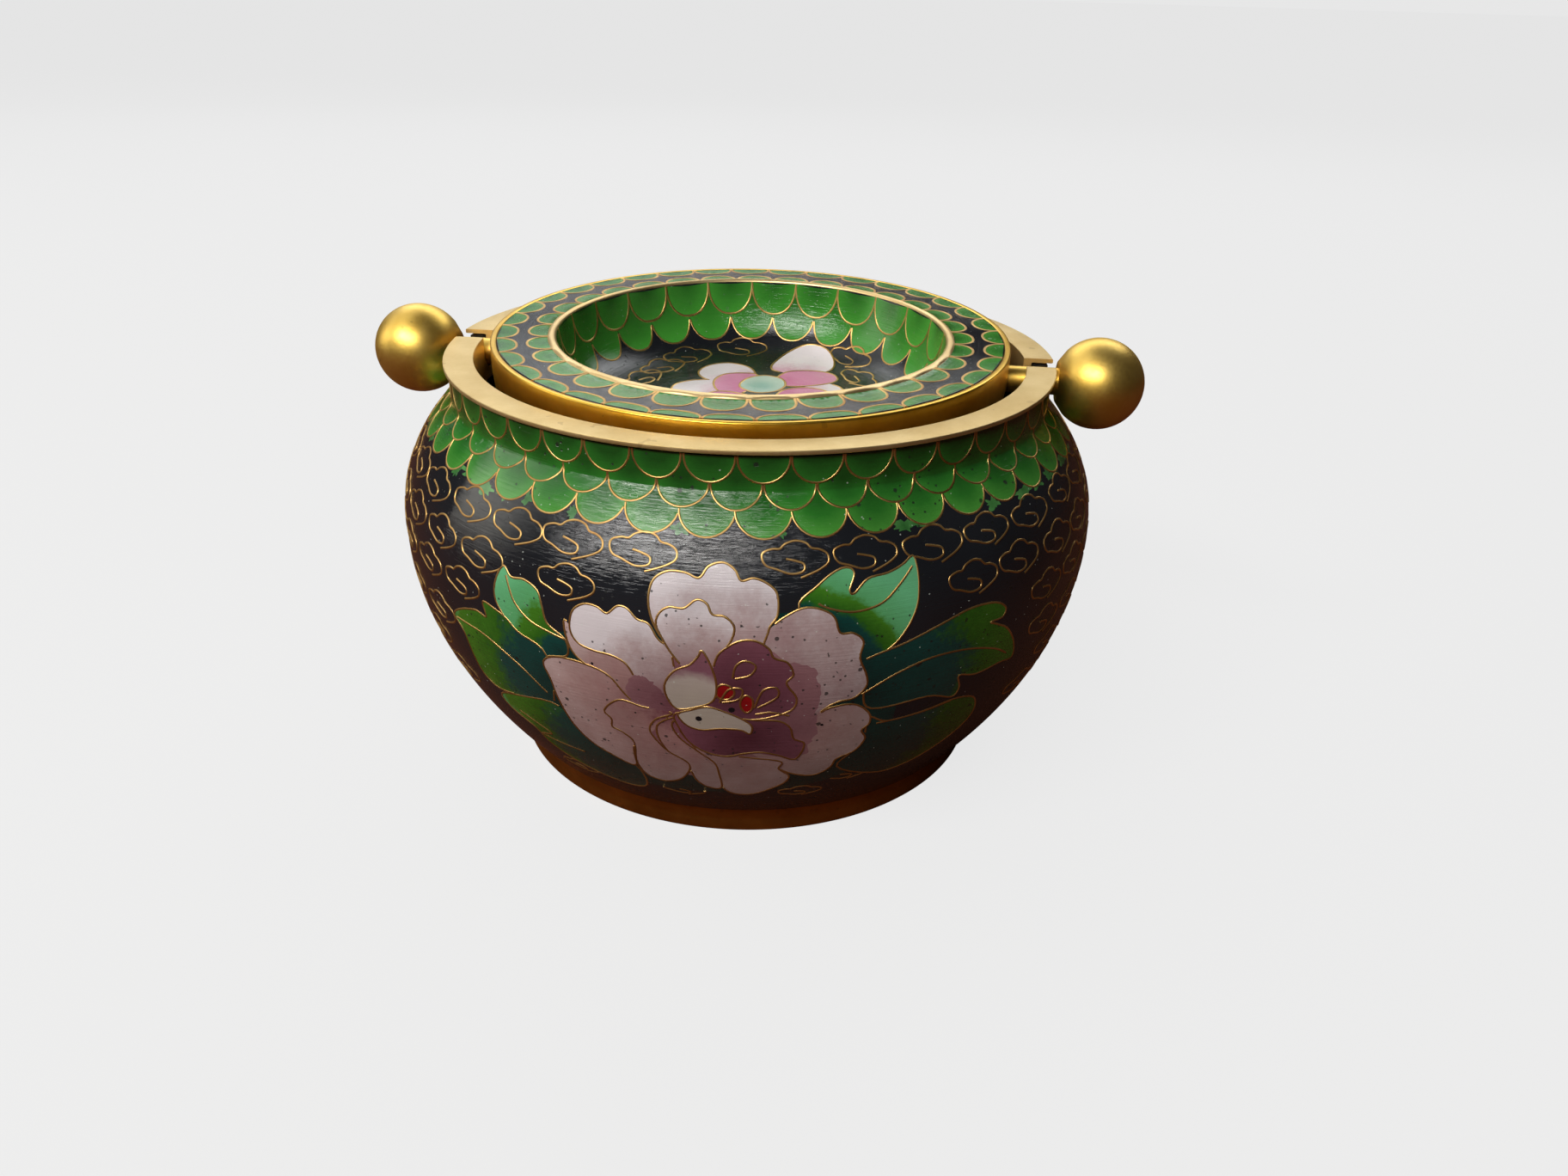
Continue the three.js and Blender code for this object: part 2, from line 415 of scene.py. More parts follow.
def pot_profile():
    """The pot's outer side, from under the rim's lip down to the foot."""
    count = 240
    heights = [BODY_TOP + (BODY_BOTTOM - BODY_TOP) * i / count for i in range(count + 1)]
    return Profile([(pot_radius(height) + SKIN, height) for height in heights])


def dish_profile():
    """The dish's upper side, from the middle of its floor out to the band."""
    top = DISH_ABOVE_PIVOT
    wall = [well_point(math.pi / 2 * (1 - i / 48)) for i in range(49)]
    ring = []
    for turn in half_turn(8)[1:]:
        radius = WELL_RADIUS + WELL_LIP / 2 * (1 - math.cos(turn))
        ring.append((radius, top + WELL_LIP_RISE * math.sin(turn)))
    floor = [(wall[0][0] * i / 12, top - WELL_DEPTH) for i in range(12)]
    return Profile([*floor, *wall, *ring, (DISH_EDGE, top)])


POT = pot_profile()
DISH = dish_profile()
POT_LENGTH = POT.along[-1]
DISH_LENGTH = DISH.along[-1]
TILT = Matrix.Translation((0, 0, PIVOT_HEIGHT)) @ Matrix.Rotation(DISH_TILT, 4, "X")


def dish_reach(radius):
    """Distance along the dish's profile, from its middle, of a radius on the flange or the wall."""
    last = max(i for i, (inner, _) in enumerate(DISH.points) if inner <= radius)
    return DISH.along[last] + (radius - DISH.points[last][0])


def wrap_pot(point):
    """Sheet point (along the girth, minus the way down) to a place, its normal and its sheet mark."""
    place, normal = POT.place(-point[1], point[0] / REACH, POT_SOFTNESS)
    return place, normal.normalized(), (point[0], point[1])


def wrap_dish(point):
    """Sheet point (from the dish's middle) to a place, its normal and its sheet mark."""
    distance = math.hypot(point[0], point[1])
    angle = math.atan2(point[0], -point[1])
    place, normal = DISH.place(distance, angle, DISH_SOFTNESS)
    return TILT @ place, (TILT.to_3x3() @ normal).normalized(), (angle * DISH_REACH, distance)


def smooth(points, closed=False, steps=5):
    """A soft line through given points."""
    points = [Vector(point) for point in points]
    count = len(points)
    line = []
    for i in range(count if closed else count - 1):
        near = [(i + k) % count if closed else clamp(i + k, 0, count - 1) for k in (-1, 0, 1, 2)]
        a, b, c, d = (points[k] for k in near)
        first = c - a
        second = 2 * a - 5 * b + 4 * c - d
        third = 3 * b - a - 3 * c + d
        for j in range(steps):
            t = j / steps
            line.append(0.5 * (2 * b + first * t + second * t**2 + third * t**3))
    if not closed:
        line.append(points[-1])
    return line


def sides(outline):
    return zip(outline, [*outline[1:], outline[0]])


def inside(point, outline):
    """Whether a point lies within an outline."""
    hit = False
    for a, b in sides(outline):
        if (a.y > point.y) != (b.y > point.y):
            crossing = (b.x - a.x) * (point.y - a.y) / (b.y - a.y) + a.x
            hit = hit != (point.x < crossing)
    return hit


def divided(outline):
    """The same outline with no long edge, so that it follows the curved surface."""
    line = []
    for a, b in sides(outline):
        count = max(1, math.ceil((b - a).length / CELL_STEP))
        line.extend(a + (b - a) * i / count for i in range(count))
    return line


def anticlockwise(outline):
    area = sum(a.x * b.y - b.x * a.y for a, b in sides(outline))
    return outline if area > 0 else list(reversed(outline))


class Drawing:
    """Cells of enamel and wires on a flat sheet, in millimetres. A later cell lies over an earlier one."""

    def __init__(self):
        self.cells = []
        self.wires = []

    def cell(self, outline, colour, root, reach, start=0.0):
        """A cell of one enamel, whose shade grows from its start with the distance from its root."""
        self.cells.append((divided([Vector(p) for p in outline]), colour, Vector(root), reach, start))

    def wire(self, points, closed=False):
        """A wire, hidden wherever a cell that is laid after it covers it."""
        line = [Vector(p) for p in points]
        if closed:
            line.append(line[0])
        self.wires.append((line, len(self.cells)))

    def laid(self, name, border, holes, filler, wrap, ground):
        """One skin, cut along every cell's outline and wrapped on its surface."""
        places = []
        loops = []
        for outline in [border, *holes, *(cell[0] for cell in self.cells)]:
            loops.append(list(range(len(places), len(places) + len(outline))))
            places.extend(anticlockwise(outline))
        places.extend(filler)
        points, _, faces, _, _, sources = delaunay_2d_cdt(places, [], loops, 0, CUT_TOLERANCE)
        first_cell = 1 + len(holes)
        colours = [ground]
        kept = []
        for face, source in zip(faces, sources):
            if 0 not in source or any(0 < index < first_cell for index in source):
                continue
            kept.append((face, max(source) - first_cell))
        mesh = bpy.data.meshes.new(name)
        wrapped = [wrap(point) for point in points]
        mesh.from_pydata([place * MM for place, _, _ in wrapped], [], [face for face, _ in kept])
        for _, cell in kept:
            if cell >= 0 and self.cells[cell][1] not in colours:
                colours.append(self.cells[cell][1])
        for colour in colours:
            mesh.materials.append(FINISHES[colour])
        shade = mesh.attributes.new("shade", "FLOAT", "CORNER")
        marks = mesh.uv_layers.new(name="Sheet")
        for polygon, (face, cell) in zip(mesh.polygons, kept):
            polygon.material_index = 0 if cell < 0 else colours.index(self.cells[cell][1])
            for corner in polygon.loop_indices:
                vertex = mesh.loops[corner].vertex_index
                marks.data[corner].uv = wrapped[vertex][2]
                if cell < 0:
                    shade.data[corner].value = MIDDLE_SHADE
                else:
                    _, _, root, reach, start = self.cells[cell]
                    shade.data[corner].value = start + (points[vertex] - root).length / reach
        mesh.shade_smooth()
        mesh.normals_split_custom_set_from_vertices([normal for _, normal, _ in wrapped])
        return added(name, mesh)

    def shown_wires(self):
        """The stretches of wire that no later cell covers."""
        boxes = []
        for outline, *_ in self.cells:
            xs = [p.x for p in outline]
            ys = [p.y for p in outline]
            boxes.append((min(xs), max(xs), min(ys), max(ys)))
        shown = []
        for line, level in self.wires:
            covers = []
            for (left, right, low, high), (outline, *_) in zip(boxes[level:], self.cells[level:]):
                if any(left < p.x < right and low < p.y < high for p in line):
                    covers.append(outline)
            stretch = []
            for point in line:
                if any(inside(point, outline) for outline in covers):
                    if len(stretch) > 1:
                        shown.append(stretch)
                    stretch = []
                else:
                    stretch.append(point)
            if len(stretch) > 1:
                shown.append(stretch)
        return shown

    def wired(self, name, wrap, radius=WIRE_RADIUS):
        """The wires as lines of edges on the surface, then round wire from the wire tree."""
        places = []
        edges = []
        for line in self.shown_wires():
            loop = len(line) > 3 and (line[0] - line[-1]).length < 1e-6
            first = len(places)
            for point in line[:-1] if loop else line:
                place, normal, _ = wrap(point)
                places.append((place - normal * (radius - WIRE_PROUD)) * MM)
            edges.extend((i, i + 1) for i in range(first, len(places) - 1))
            if loop:
                edges.append((len(places) - 1, first))
        mesh = bpy.data.meshes.new(name + "_lines")
        mesh.from_pydata(places, edges, [])
        values = {"Wire Radius": radius * MM, "Wire Sides": WIRE_SIDES, "Finish": WIRE_BRASS}
        return grown(added(name + "_lines", mesh), WIRE_TREE, values, name)


def wire_tree():
    """Geometry Nodes: every line of edges becomes round wire."""
    tree = bpy.data.node_groups.new("laid_wire", "GeometryNodeTree")
    sockets = {"Geometry": "Geometry", "Wire Radius": "Float", "Wire Sides": "Int", "Finish": "Material"}
    for name, kind in sockets.items():
        tree.interface.new_socket(name, in_out="INPUT", socket_type="NodeSocket" + kind)
    tree.interface.new_socket("Geometry", in_out="OUTPUT", socket_type="NodeSocketGeometry")
    given = tree.nodes.new("NodeGroupInput")
    lines = tree.nodes.new("GeometryNodeMeshToCurve")
    section = tree.nodes.new("GeometryNodeCurvePrimitiveCircle")
    swept = tree.nodes.new("GeometryNodeCurveToMesh")
    soft = tree.nodes.new("GeometryNodeSetShadeSmooth")
    real = tree.nodes.new("GeometryNodeRealizeInstances")
    dressed = tree.nodes.new("GeometryNodeSetMaterial")
    result = tree.nodes.new("NodeGroupOutput")
    for source, output, target, socket in [
        (given, "Geometry", lines, "Mesh"),
        (given, "Wire Radius", section, "Radius"),
        (given, "Wire Sides", section, "Resolution"),
        (lines, "Curve", swept, "Curve"),
        (section, "Curve", swept, "Profile Curve"),
        (swept, "Mesh", soft, "Geometry"),
        (soft, "Geometry", real, "Geometry"),
        (real, "Geometry", dressed, "Geometry"),
        (given, "Finish", dressed, "Material"),
        (dressed, "Geometry", result, "Geometry"),
    ]:
        tree.links.new(source.outputs[output], target.inputs[socket])
    swept.inputs["Fill Caps"].default_value = True
    return tree


WIRE_TREE = wire_tree()


def kept_mesh(thing):
    """What a thing's modifiers make of it, as a plain mesh. The modifiers are taken off."""
    seen = thing.evaluated_get(bpy.context.evaluated_depsgraph_get())
    mesh = bpy.data.meshes.new_from_object(seen)
    thing.modifiers.clear()
    return mesh


def grown(source, tree, values, name):
    """Runs a Geometry Nodes tree on an object and keeps the result as a plain mesh."""
    modifier = source.modifiers.new("tree", "NODES")
    modifier.node_group = tree
    for item in tree.interface.items_tree:
        if item.in_out == "INPUT" and item.name in values:
            modifier[item.identifier] = values[item.name]
    source.update_tag()
    mesh = kept_mesh(source)
    bpy.data.objects.remove(source)
    mesh.name = name
    return added(name, mesh)


# The pot's drawing


def on_pot(angle, down):
    """A brush that puts local millimetres round one spot of the pot's sheet."""
    spot = math.radians(angle) * REACH

    def put(x, y):
        radius = POT.at(down - y)[0]
        return Vector((spot + x * REACH / radius, -(down - y)))

    return put


def brushed(put, points, size=1.0):
    return [put(size * x, size * y) for x, y in points]


# One cloud: a soft open line of wire that ends in a curl.
CLOUD = [
    (-1.1, 0.1), (0.0, -0.15), (1.0, -0.55), (1.05, -1.3), (0.3, -1.65), (-0.85, -1.65), (-2.3, -1.1),
    (-3.4, -0.75), (-3.9, 0.0), (-3.8, 0.85), (-2.65, 1.3), (-1.8, 1.3), (-1.1, 1.9), (0.15, 2.25),
    (1.35, 1.95), (2.0, 1.3), (3.0, 1.1), (3.9, 0.5), (4.0, -0.5), (3.0, -1.25), (1.7, -1.8), (0.6, -2.2),
]
CLOUD_COUNT = 34
# Rows of clouds: how far down, the angle they start from, and the angles between which a spray hides them.
CLOUD_ROWS = [
    (12.2, -8.3, -2, 8), (17.2, -34.5, -30, 36), (22.5, -38.9, -34, 50), (28.3, -47.5, -43, 54),
    (33.9, -42.0, -44, 56), (39.4, -47.5, -44, 56),
]
# Single clouds of a spray: angle, how far down, and size.
LONE_CLOUDS = [
    (-18.9, 17.2, 0.97), (-4.4, 50.8, 0.7), (16.5, 50.5, 0.72), (24.0, 46.7, 0.75), (-26.0, 51.5, 0.7),
]


def draw_clouds(drawing, dice):
    """Wire clouds in staggered rows, left out where the flowers are."""
    for down, first, left, right in CLOUD_ROWS:
        for i in range(CLOUD_COUNT):
            angle = (i * 360 / CLOUD_COUNT + first + 180) % 360 - 180
            opposite = (angle + 360) % 360 - 180
            if left < angle < right or left < opposite < right:
                continue
            put = on_pot(angle + dice.uniform(-0.5, 0.5), down + dice.uniform(-0.3, 0.3))
            drawing.wire(smooth(brushed(put, CLOUD, dice.uniform(0.93, 1.04)), steps=3))
    for back in (0, 180):
        for angle, down, size in LONE_CLOUDS:
            drawing.wire(smooth(brushed(on_pot(back + angle, down), CLOUD, size), steps=3))


SCALE_COUNT = 43
# Rows of scales: how far down their roots and their tips are.
SCALE_ROWS = [(0.0, 3.2), (3.2, 6.45), (6.45, 9.75)]
SCALE_TURN = 0.5
SCALE_WIDTHS = (0.93, 0.98)
# Green that has run out below the scales.
BLOTLESS = 0.4
BLOT_DOWN = 9.2
BLOT_DEPTH = 0.95
BLOT_WIDTHS = (0.8, 2.4)
BLOT_POINTS = 22


def draw_scales(drawing, dice):
    """Three staggered rows of hanging scales under the rim, with green run out below them."""
    pitch = 360 / SCALE_COUNT
    for i in range(SCALE_COUNT * 2):
        angle = i * pitch / 2 + dice.uniform(-1.5, 1.5)
        if dice.random() < BLOTLESS:
            continue
        width = dice.uniform(*BLOT_WIDTHS)
        blot = []
        for k in range(BLOT_POINTS):
            turn = k * math.tau / BLOT_POINTS
            stretch = dice.uniform(0.45, 1.1)
            blot.append((width * stretch * math.cos(turn), BLOT_DEPTH * stretch * math.sin(turn)))
        down = BLOT_DOWN + dice.uniform(-0.5, 0.5)
        for around in (-360, 0, 360):
            put = on_pot(angle + around, down)
            outline = smooth(brushed(put, blot), True, 2)
            drawing.cell(outline, "bleed", put(0, 0), 2.5)
    neck = [(-SEAM, -2.0), (SEAM, -2.0), (SEAM, -TOP_MARGIN), (-SEAM, -TOP_MARGIN)]
    drawing.cell(neck, "scale", (0, -3), EVEN)
    for row in reversed(range(3)):
        top, tip = SCALE_ROWS[row]
        for i in range(-1, SCALE_COUNT + 1):
            angle = (i - SCALE_COUNT / 2 + (0.5 if row == 1 else 0.0)) * pitch + SCALE_TURN + 0.5 * pitch
            half = math.radians(pitch / 2) * POT.at(tip)[0]
            width = half * dice.uniform(*SCALE_WIDTHS)
            drop = tip - top + dice.uniform(-0.1, 0.1)
            put = on_pot(angle, top)
            line = []
            for turn in half_turn(16):
                line.append((-width * math.cos(turn), -0.25 - (drop - 0.15) * math.sin(turn)))
            hanging = [(-width, 0.15), *line, (width, 0.15)]
            lift = 0.2 if row == 0 else 2.2 + 0.2
            outline = brushed(put, [*hanging, (width, lift), (-width, lift)])
            outline = [Vector((p.x, min(p.y, -TOP_MARGIN))) for p in outline]
            # Rows nearer the rim start darker: painted shade of the rim's lip over the top rows.
            drawing.cell(outline, "scale", put(0, 1.6), drop + 1.8, 0.26 * (row - 2))
            if 0 <= i < SCALE_COUNT:
                drawing.wire(brushed(put, hanging))


# Petals in the order they are laid: colour, the spot it runs from, how far it runs, and soft outline.
PEONY = [
    ("heart", (0, 0), 17, [(-6, 6), (0, 8), (8, 10), (16, 6), (17, -6), (10, -12), (2, -14), (-5, -9),
     (-8, -2)]),
    ("rose", (0, 0), 15, [(0, -1), (-3, -1), (-6, 1), (-8, 4), (-11, 5), (-13, 7), (-13.5, 10.5), (-11, 8),
     (-7, 8), (-3, 5)]),
    ("rose", (0, 0), 16, [(-1, -1), (-3, -1.5), (-6, 1.5), (-8, 4), (-11, 5), (-15, 5), (-17.2, 3.6),
     (-16.4, 1), (-15.8, -2), (-14.3, -6.3), (-12.2, -9.4), (-9.6, -11.4), (-6.5, -12.9), (-6, -8),
     (-3, -4)]),
    # This right-hand petal runs over a long reach, so its tip stays darker: painted shade on the side away
    # from the lamps.
    ("white", (6, 1), 25, [(3, 5), (11, 12), (13, 13.6), (15, 14.5), (17, 14.2), (18.6, 13.2), (19.4, 11.2),
     (21, 11), (22.3, 9.8), (22, 7.6), (22.9, 5.2), (23, 3.4), (21.5, 1.8), (18.5, 1), (12, -4), (5, -2)]),
    ("rose", (6, 1), 18, [(6, -1), (15, -1), (18.5, 0.6), (21.5, 0.8), (23.5, -1), (23.7, -3), (22.7, -4.2),
     (23.2, -6), (21.8, -8.4), (19.5, -9.7), (18.6, -11.7), (16.6, -13.3), (14.4, -12.9), (12, -11),
     (8, -6)]),
    ("rose", (0, 0), 19, [(1, -3), (4, -7), (12, -9), (12, -11), (13.2, -13), (12.5, -15), (10.4, -17),
     (8, -18.6), (5.6, -18.4), (4.4, -16), (4.2, -12), (2, -7)]),
    ("rose", (0, 0), 17, [(0, -1), (-0.6, -2.5), (0.2, -4.8), (2, -7), (4, -9.5), (4.4, -12), (4.3, -16.6),
     (2.5, -16.5), (1.3, -14.6), (0.6, -11.5), (-2, -7), (-2.5, -3)]),
    ("rose", (0, 0), 17, [(-0.4, -0.4), (-2.5, -1.8), (-3.5, -3.8), (-2.9, -5.7), (-1.5, -8), (0.6, -10),
     (0.7, -12), (-0.7, -14.8), (-2.9, -16.2), (-5.2, -15.2), (-6.2, -12), (-5.9, -7.2), (-7.2, -5.4),
     (-8.5, -4.7), (-8.4, -3.2), (-9.2, -1.8), (-7, 0.5), (-4, 0)]),
    ("white", (6, 4), 14, [(1, 8), (-1, 10), (-2.4, 12.5), (-2.9, 15), (-2.4, 17.2), (-0.8, 18.3),
     (1.2, 18.3), (2.8, 17.8), (3.8, 19.2), (5.4, 19.7), (6.8, 18.9), (7.6, 17.7), (9, 18), (10.6, 17.4),
     (11.8, 16.2), (12, 13.8), (11.2, 12.4), (10.8, 11), (9, 7), (4, 6)]),
    ("white", (0.5, 1), 12, [(0.2, 0.5), (-1.8, 0.9), (-3.3, 1.8), (-4.4, 3.8), (-5.6, 6.1), (-7.4, 7),
     (-9.7, 7.2), (-11.8, 7.8), (-12.8, 9.4), (-12.4, 11.8), (-10.9, 13), (-9.2, 13), (-7.9, 12.4),
     (-6.6, 13.5), (-5.4, 13.4), (-4.2, 12.3), (-2.8, 11.9), (-1.7, 10.2), (0, 8)]),
    ("white", (3.5, 5), 9, [(0.4, 7.8), (-1, 10), (-1.9, 12), (-1.5, 13.4), (-0.4, 14.2), (1.3, 14.2),
     (2.7, 15.3), (3.9, 14.9), (4.6, 13.7), (6, 13.5), (7.1, 12.4), (6.9, 10.8), (5.9, 9.1), (5, 7),
     (3, 5)]),
    ("stain", (2, 1), 9, [(-0.2, 0.2), (-1.2, 2.2), (-2.6, 4.2), (-4.2, 4.9), (-5.4, 4), (-5.9, 2.2),
     (-5.2, 0.9), (-3.6, 0.3), (-1.8, -0.2)]),
    ("stain", (8, 0), 9, [(9, 9), (13.4, 7.7), (15.6, 7.4), (17, 5.4), (17.4, 2.4), (16.8, -0.6),
     (17.1, -3), (16, -5.8), (15.2, -7.9), (9, -6)]),
    ("mauve", (8, 4), 8, [(4.6, 5), (5.1, 8.2), (6.2, 9.6), (7.9, 10.6), (9.7, 10.6), (11.2, 9.6),
     (11.8, 8.4), (13.4, 7.7), (14.1, 6), (13.3, 4.8), (14.5, 2.6), (14, 0.8), (12, -0.2), (9, -0.8),
     (5, 0)]),
    ("mauve", (8, -4), 8, [(0, -0.4), (0.3, -3), (1.3, -5.4), (3.1, -7.2), (5.6, -8), (7.8, -7.3), (10, -7),
     (12, -7.7), (14.2, -8.8), (15.4, -5.6), (14.1, -4.4), (13.7, -2.3), (12.2, -1), (9, -0.8), (4, 0)]),
    ("red", (6, 3), 4, [(4.9, 3.6), (5.7, 4.6), (6.8, 4.3), (7.2, 3.3), (6.4, 2.4), (5.3, 2.6)]),
    ("red", (8, 2), 4, [(7.9, 2.3), (8.5, 3.1), (9.3, 2.5), (9.2, 1), (8.5, 0.4), (7.9, 1.2)]),
    ("bud", (2, 1.2), 8, [(3.5, 9.1), (4.5, 7.2), (5.1, 4.6), (4.7, 2.2), (2.8, 1), (0.3, 0.4), (-0.9, 2.2),
     (-1, 4.2), (0.2, 6.1), (2, 7.1), (3, 8.3)]),
    ("bud", (3, -1), 16, [(0.3, -0.5), (1.9, 0.4), (3.9, 1.1), (6, 0.4), (7.8, -0.6), (9.1, -1.9),
     (8.8, -3.3), (7.7, -2.6), (5.3, -2.5), (3.1, -2.9), (1.3, -2.3)]),
]
# Holes in the glass: centre and radius.
PEONY_PITS = [(6.8, 0.8, 0.42), (2.8, -0.95, 0.42), (21.4, 1.1, 0.2), (17.6, -2.2, 0.22), (-10.1, 5.3, 0.2)]
# Stamens of wire.
PEONY_STAMENS = [
    [(7, 5.6), (7.4, 7.3), (8.5, 8), (9.7, 7.3), (9, 6), (7.3, 5.5)],
    [(5.4, 1.9), (6.5, 3.9), (8.1, 4), (7.7, 2.5), (5.7, 1.9)],
    [(9.5, 1.2), (10.5, 3.8), (12.1, 4.2), (12.2, 2.8), (9.9, 1.2)],
    [(9.6, 0.1), (11.5, 0.4), (13.6, -0.2)],
]
# Leaves: the spot the colour runs from, how far it runs, its first shade, soft outline, and vein.
LEAVES = [
    ((-13, 5), 13, 0, [(-13.6, 7.8), (-16, 9.3), (-16.7, 11.4), (-17.4, 13.2), (-19.4, 14), (-21.5, 13.8),
     (-22.7, 14.8), (-23.9, 13.2), (-24.4, 10.8), (-23.4, 8.8), (-21, 6.6), (-18, 4), (-16, 4.8),
     (-13.5, 5.6)], [(-22.3, 13.8), (-21, 10.8), (-18.7, 9), (-15.7, 8.2), (-13.7, 7.8)]),
    ((-14, 0), 32, 0, [(-16.5, 4.6), (-20.8, 6.8), (-22.6, 8.1), (-24.8, 8.8), (-26.8, 9), (-26.4, 7),
     (-28.5, 7.2), (-32, 6), (-34, 4.4), (-32.2, 2.4), (-31.3, -0.6), (-30, -3.9), (-27.2, -5.4),
     (-22.8, -4.6), (-17, -4)], [(-33.4, 4.2), (-28, 4.1), (-24, 2.8), (-20.6, 1), (-17.4, -1.6)]),
    ((-9, -12), 30, 0, [(-16, -3.5), (-22.8, -4.6), (-27, -6.5), (-26, -9), (-22, -11.5), (-20, -15),
     (-15, -18.5), (-9, -20.5), (-6, -19), (-6.5, -13), (-12, -9.6)], [(-24, -8.5), (-19, -11),
     (-21, -12.5), (-14, -13)]),
    ((10, 0), 8.5, -1.56, [(14.4, 14.5), (16.4, 17), (18.3, 18.5), (19.8, 18.8), (20.6, 18), (20.2, 16.2),
     (20.8, 15.8), (22.3, 17.3), (24.8, 17.7), (26.6, 18.4), (27.8, 19.2), (28.5, 18), (29, 15.6),
     (28.9, 13), (27.6, 10.3), (25.5, 8.2), (21.5, 6.6), (19.4, 11)], [(16.6, 14.9), (18.1, 14.2),
     (21, 13.6), (24.2, 14.2), (26.2, 15.9), (27.9, 18)]),
    # This right leaf runs over a long reach, so it stays dark: painted shade on the side away from the
    # lamps.
    ((21, 1), 46, 0, [(22, 6.8), (28.1, 8.8), (33, 10.3), (37, 11.2), (41, 10.9), (43.2, 9.6), (42.8, 8.4),
     (40.7, 8.3), (42, 7.6), (44.2, 6.2), (46, 3.4), (46.2, 0.8), (43.6, 1), (39.2, 0.8), (36.3, 1.6),
     (36.6, -0.6), (35.5, -1.9), (31.6, -0.4), (23.8, -0.4), (22.6, 3)], [(22.5, 2.2), (26.8, 4.5),
     (31.7, 5.8), (37.2, 5.5), (42.1, 3.9), (44.6, 2.2)]),
    ((20, -8), 40, 0, [(23.5, -2), (26, -3.2), (31, -3), (36, -2.5), (39.6, -3.8), (40.4, -7), (38.8, -10),
     (35, -13), (30, -15.6), (25, -16), (19.5, -11.8), (22.8, -7)], [(24.6, -3.3), (30.8, -3.1),
     (35.6, -2.6)]),
]
# Where the peony's heart is.
HEART_ANGLE = -3.2
HEART_DOWN = 32.3
# How far a colour with no wire round it strays from its outline.
RAGGED = 0.25
# The dark ground between the leaves.
SHADOW = [
    (-17, 6), (-13, 9), (12, 14), (22, 12), (26, 8), (27, -2), (23, -12), (12, -17), (-8, -18), (-17, -10),
]
# A reach so long that a colour keeps its first shade.
EVEN = 400


def draw_spray(drawing, angle, dice):
    """One peony with its leaves: a dark ground between them, then leaves, then petals."""
    put = on_pot(angle, HEART_DOWN)
    drawing.cell(smooth(brushed(put, SHADOW), True), "leaf", put(0, 0), EVEN)
    for root, reach, start, outline, vein in LEAVES:
        line = smooth(brushed(put, outline), True)
        drawing.cell(line, "leaf", put(*root), reach, start)
        drawing.wire(line, True)
        drawing.wire(smooth(brushed(put, vein)))
    for colour, root, reach, outline in PEONY:
        line = smooth(brushed(put, outline), True)
        soft = colour in ("stain", "heart")
        if soft:
            line = [p + Vector((dice.uniform(-RAGGED, RAGGED), dice.uniform(-RAGGED, RAGGED))) for p in line]
        drawing.cell(line, colour, put(*root), reach)
        if not soft:
            drawing.wire(line, True)
    for x, y, size in PEONY_PITS:
        turns = [k * math.tau / 8 for k in range(8)]
        hole = [(x + size * math.cos(turn), y + size * math.sin(turn)) for turn in turns]
        drawing.cell(brushed(put, hole), "black", put(0, 0), EVEN)
    for stamen in PEONY_STAMENS:
        drawing.wire(smooth(brushed(put, stamen)))


def make_pot():
    dice = random.Random(7)
    drawing = Drawing()
    draw_scales(drawing, dice)
    draw_clouds(drawing, dice)
    for angle in (HEART_ANGLE, 180 + HEART_ANGLE, HEART_ANGLE - 180):
        draw_spray(drawing, angle, random.Random(3))
    rows = round(POT_LENGTH / MESH_STEP)
    columns = round(2 * SEAM / MESH_STEP)
    border = [Vector((-SEAM + 2 * SEAM * i / columns, -POT_LENGTH)) for i in range(columns)]
    border += [Vector((SEAM, -POT_LENGTH * (1 - j / rows))) for j in range(rows)]
    border += [Vector((SEAM - 2 * SEAM * i / columns, 0.0)) for i in range(columns)]
    border += [Vector((-SEAM, -POT_LENGTH * j / rows)) for j in range(rows)]
    filler = []
    for j in range(1, rows):
        for i in range(1, columns):
            shift = 0.45 if j % 2 else 0.0
            filler.append(Vector((-SEAM + 2 * SEAM * (i + shift) / columns, -POT_LENGTH * j / rows)))
    notches = []
    for side in (-90, 90):
        line = []
        for turn in half_turn(12):
            height = PIVOT_HEIGHT - NOTCH_HALF_WIDTH * math.sin(turn)
            down = BODY_TOP - height
            width = NOTCH_HALF_WIDTH * math.cos(turn)
            line.append(Vector((math.radians(side) * REACH + width * REACH / NECK_RADIUS, -down)))
        line.append(Vector((line[-1].x, 0.5)))
        line.append(Vector((line[0].x, 0.5)))
        notches.append(line)
    skin = drawing.laid("pot_enamel", border, notches, filler, wrap_pot, "black")
    welded(skin)
    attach(skin, "pot")
    wires = drawing.wired("pot_wires", wrap_pot)
    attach(wires, "pot")


def welded(thing):
    """Joins the two sides of a sheet's seam."""
    mesh = thing.data
    shape = bmesh.new()
    shape.from_mesh(mesh)
    bmesh.ops.remove_doubles(shape, verts=shape.verts, dist=0.00001)
    shape.to_mesh(mesh)
    shape.free()


# The dish's drawing


def polar(angle, distance):
    turn = math.radians(angle)
    return Vector((distance * math.sin(turn), -distance * math.cos(turn)))


def circle(distance, count, shift=0.0):
    return [polar((i + shift) * 360 / count, distance) for i in range(count)]


